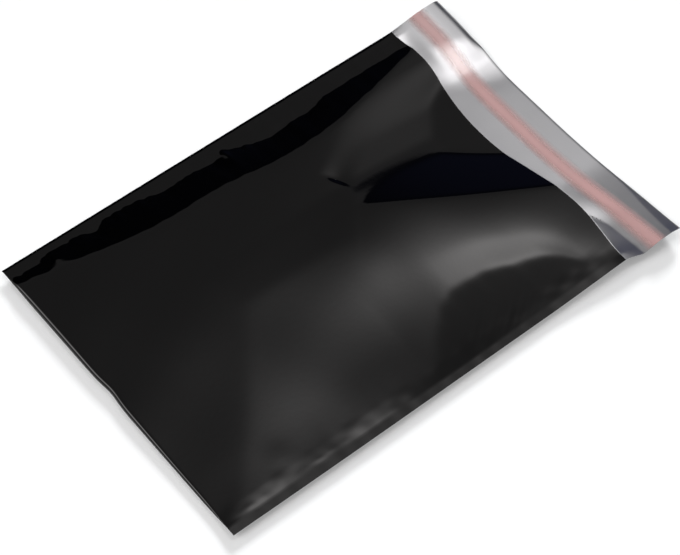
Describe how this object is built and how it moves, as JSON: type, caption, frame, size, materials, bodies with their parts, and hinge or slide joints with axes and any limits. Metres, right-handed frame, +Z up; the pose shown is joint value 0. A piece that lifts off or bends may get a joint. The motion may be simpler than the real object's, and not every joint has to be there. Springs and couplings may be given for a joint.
{
  "type": "plastic gift bag",
  "caption": "Flat peel-and-seal bag of glossy black metallised film lying on its back, silver inside, with an open flap carrying an adhesive strip under a pink release liner.",
  "frame": {"origin": "middle of the bag's outline, on the surface it lies on", "axes": "+X across the bag, +Y from the bottom fold towards the flap's free edge, +Z up from the surface"},
  "size_m": [0.23, 0.34, 0.01],
  "materials": {
    "black_film": "high-gloss black film, silver metallised on its inner face",
    "adhesive": "tacky, clear with a warm tint",
    "liner": "smooth translucent pink film"
  },
  "bodies": {
    "root": {"bag_film": "black_film", "adhesive_strip": "adhesive", "release_liner": "liner"}
  },
  "joints": []
}
